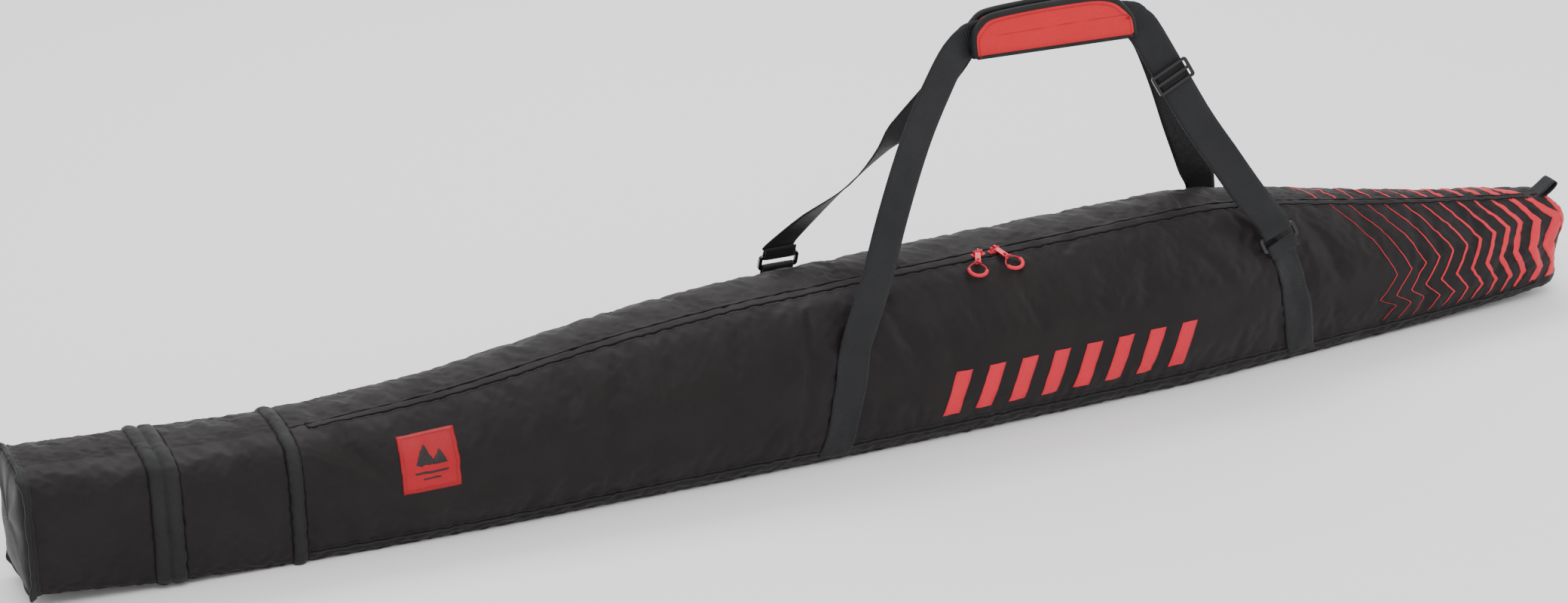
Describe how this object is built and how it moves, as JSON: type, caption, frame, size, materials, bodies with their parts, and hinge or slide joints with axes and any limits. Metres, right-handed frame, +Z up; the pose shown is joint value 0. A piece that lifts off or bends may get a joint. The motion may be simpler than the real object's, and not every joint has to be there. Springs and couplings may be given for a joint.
{
  "type": "ski bag",
  "caption": "Long padded single ski bag with a zipped lid, two folding length extensions at the tail, webbing carry straps with a padded hand wrap, and cord zip pulls.",
  "frame": {"origin": "on the resting face, at mid length between the two end seams and midway between the sides", "axes": "+X along the bag towards the tip end, -Y towards the front side that carries the badge, +Z up"},
  "size_m": [1.984, 0.1899, 0.4953],
  "materials": {
    "shell_fabric": "coated polyester weave, satin",
    "lining_fabric": "plain woven cloth",
    "padding_foam": "thin padding",
    "webbing": "ribbed polypropylene webbing",
    "binding": "grosgrain tape",
    "wrap_red": "coated red fabric",
    "plastic_black": "moulded acetal",
    "zip_black": "nylon coil",
    "zip_tape": "woven zip tape",
    "metal_red": "red enamel",
    "cord_red": "braided cord",
    "grip_red": "moulded soft grip",
    "badge_red": "embossed patch",
    "hook_loop": "hook-and-loop tape"
  },
  "bodies": {
    "bag": {"front_shell": "shell_fabric", "rear_shell": "shell_fabric", "bottom_shell": "shell_fabric", "front_padding": "padding_foam", "rear_padding": "padding_foam", "bottom_padding": "padding_foam", "front_lining": "lining_fabric", "rear_lining": "lining_fabric", "bottom_lining": "lining_fabric", "lid_tail_fixed": "shell_fabric", "lid_tail_fold": "shell_fabric", "lid_tip_fold": "shell_fabric", "lid_tip_fixed": "shell_fabric", "tip_end_panel": "shell_fabric", "zip_end_tab": "webbing", "body_ring": "binding", "extension_body": "shell_fabric", "zip_tape_front": "zip_tape", "zip_coil_front": "zip_black", "band_front_left": "webbing", "band_front_right": "webbing", "band_rear_left": "webbing", "band_rear_right": "webbing", "keeper_front_right": "webbing", "keeper_rear_left": "webbing", "badge": "badge_red", "ski_strap": "webbing", "ski_strap_buckle": "plastic_black", "strap_front_left": "webbing", "strap_front_right": "webbing"},
    "flap": {"lid_flap": "shell_fabric", "zip_tape_lid": "zip_tape", "zip_coil_lid": "zip_black"},
    "extension_ring": {"mid_ring": "binding", "extension_tail": "shell_fabric"},
    "tail_end": {"tail_end_panel": "shell_fabric", "tail_end_binding": "binding"},
    "handle": {"ring_rear_left": "plastic_black", "strap_front_top": "webbing", "strap_rear": "webbing", "wrap_rear_leaf": "wrap_red", "wrap_rear_edging": "binding", "wrap_hook_strip": "hook_loop"},
    "wrap_flap": {"wrap_front_leaf": "wrap_red", "wrap_front_edging": "binding", "wrap_loop_strip": "hook_loop"},
    "front_ring": {"ring_front_right": "plastic_black"},
    "adjuster": {"adjuster": "plastic_black"},
    "slider_left": {"zip_slider_left": "metal_red"},
    "slider_right": {"zip_slider_right": "metal_red"},
    "pull_left": {"pull_tab_left": "metal_red", "pull_cord_left": "cord_red", "pull_grip_left": "grip_red"},
    "pull_right": {"pull_tab_right": "metal_red", "pull_cord_right": "cord_red", "pull_grip_right": "grip_red"}
  },
  "joints": [
    {"name": "flap_hinge", "type": "hinge", "parent": "bag", "child": "flap", "pos_m": [0.06, 0.06692, 0.18482], "axis": [-0.9997, 0.0095, -0.0215], "range_deg": [0, 60], "deforming": ["lid_tail_fold", "lid_tip_fold"]},
    {"name": "handle_swing", "type": "hinge", "parent": "bag", "child": "handle", "pos_m": [-0.047, 0.08, 0.184], "axis": [0.9999, 0, -0.014], "range_deg": [0, 32], "deforming": ["strap_front_left", "strap_front_right"]},
    {"name": "front_ring_turn", "type": "hinge", "parent": "bag", "child": "front_ring", "pos_m": [0.54406, -0.07962, 0.16879], "axis": [0.9207, 0, 0.3903], "range_deg": [0, 70]},
    {"name": "slider_left_run", "type": "slide", "parent": "bag", "child": "slider_left", "axis": [-0.9997, 0, -0.0234], "range_m": [0, 0.29]},
    {"name": "slider_right_run", "type": "slide", "parent": "bag", "child": "slider_right", "axis": [0.9997, 0, 0.0234], "range_m": [0, 0.28]},
    {"name": "pull_left_lift", "type": "hinge", "parent": "slider_left", "child": "pull_left", "pos_m": [0.16087, -0.02915, 0.20808], "axis": [-0.9997, 0, -0.0234], "range_deg": [0, 100]},
    {"name": "pull_right_lift", "type": "hinge", "parent": "slider_right", "child": "pull_right", "pos_m": [0.18287, -0.02915, 0.20859], "axis": [-0.9997, 0, -0.0234], "range_deg": [0, 100]},
    {"name": "adjuster_slide", "type": "slide", "parent": "handle", "child": "adjuster", "axis": [0.4334, -0.2767, -0.8577], "range_m": [-0.03, 0.03]},
    {"name": "wrap_open", "type": "hinge", "parent": "handle", "child": "wrap_flap", "pos_m": [0.267, 0, 0.429], "axis": [1, 0, 0], "range_deg": [0, 110]},
    {"name": "extension_body_fold", "type": "slide", "parent": "bag", "child": "extension_ring", "axis": [1, 0, 0], "range_m": [0, 0.115], "deforming": ["extension_body"]},
    {"name": "extension_tail_fold", "type": "slide", "parent": "extension_ring", "child": "tail_end", "axis": [1, 0, 0], "range_m": [0, 0.115], "deforming": ["extension_tail"]}
  ]
}
